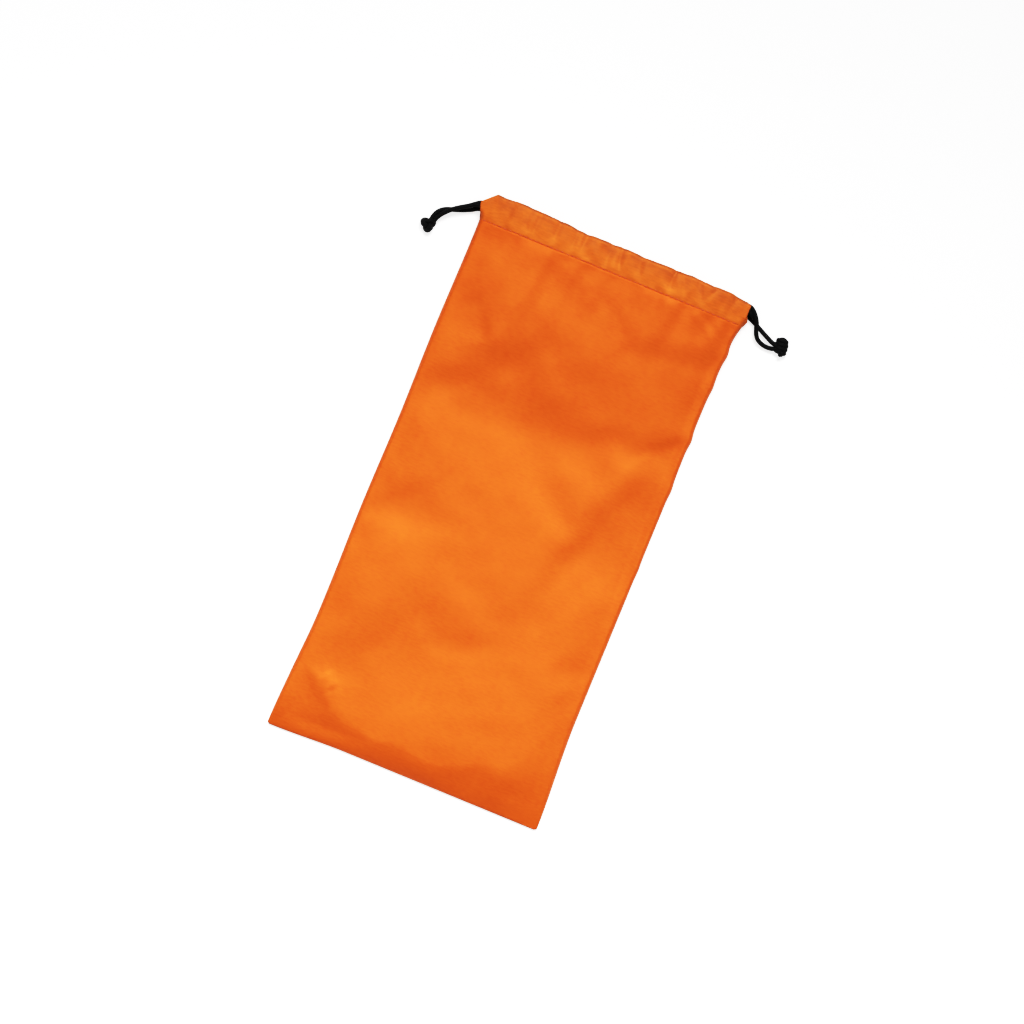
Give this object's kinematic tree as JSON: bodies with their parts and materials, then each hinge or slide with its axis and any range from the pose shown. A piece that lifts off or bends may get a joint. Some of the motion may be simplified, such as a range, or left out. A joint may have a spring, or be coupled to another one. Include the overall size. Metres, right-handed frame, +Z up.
{
  "type": "stuff sack",
  "caption": "Flat drawstring stuff sack of thin woven nylon, with a folded cord channel round its mouth and a knotted round cord leaving each end.",
  "frame": {"origin": "middle of the flat underside that the sack rests on: halfway between the side seams and halfway between the bottom edge and the mouth edge", "axes": "+X to the right across the sack, +Y along the sack from the bottom to the mouth, +Z up from the face it rests on"},
  "size_m": [0.2463, 0.358, 0.0142],
  "materials": {
    "cloth": "thin plain-weave orange nylon with a slight sheen and fine streaks along the weft",
    "hem_cloth": "the same orange nylon, doubled, creased and a little duller",
    "seam_cloth": "turned-in orange nylon with a cut raw edge",
    "thread": "twisted orange polyester sewing thread",
    "cord": "round braided black cord with cut and sealed ends"
  },
  "bodies": {
    "sack": {"front_panel": "cloth", "back_panel": "cloth", "front_hem": "hem_cloth", "back_hem": "hem_cloth", "front_hem_stitches": "thread", "back_hem_stitches": "thread", "left_side_seam": "seam_cloth", "right_side_seam": "seam_cloth", "bottom_seam": "seam_cloth", "left_seam_thread": "thread", "right_seam_thread": "thread", "bottom_seam_thread": "thread"},
    "left_mouth_end": {"left_bartack": "thread"},
    "right_mouth_end": {"right_bartack": "thread"},
    "left_drawcord": {"left_cord": "cord"},
    "left_tail": {"left_cord_tail": "cord", "left_knot": "cord", "left_cord_ends": "cord"},
    "right_drawcord": {"right_cord": "cord"},
    "right_tail": {"right_cord_tail": "cord", "right_knot": "cord", "right_cord_ends": "cord"}
  },
  "joints": [
    {"name": "mouth_draw", "type": "slide", "parent": "sack", "child": "left_drawcord", "axis": [-1, 0, 0], "range_m": [0, 0.072]},
    {"name": "right_cord_draw", "type": "slide", "parent": "sack", "child": "right_drawcord", "axis": [1, 0, 0], "range_m": [0, 0.072]},
    {"name": "left_gather", "type": "slide", "parent": "sack", "child": "left_mouth_end", "axis": [1, 0, 0], "range_m": [0, 0.072], "deforming": ["front_hem", "back_hem", "front_hem_stitches", "back_hem_stitches"]},
    {"name": "right_gather", "type": "slide", "parent": "sack", "child": "right_mouth_end", "axis": [-1, 0, 0], "range_m": [0, 0.072], "deforming": ["front_hem", "back_hem", "front_hem_stitches", "back_hem_stitches"]},
    {"name": "left_tail_swing", "type": "hinge", "parent": "left_drawcord", "child": "left_tail", "pos_m": [-0.0925, 0.1695, 0.007], "axis": [0, 0, 1], "range_deg": [-120, 38]},
    {"name": "right_tail_swing", "type": "hinge", "parent": "right_drawcord", "child": "right_tail", "pos_m": [0.0925, 0.1745, 0.007], "axis": [0, 0, 1], "range_deg": [-52, 106]}
  ],
  "couplings": [
    {"joint": "right_cord_draw", "follows": "mouth_draw", "ratio": 1},
    {"joint": "left_gather", "follows": "mouth_draw", "ratio": 1},
    {"joint": "right_gather", "follows": "mouth_draw", "ratio": 1}
  ]
}
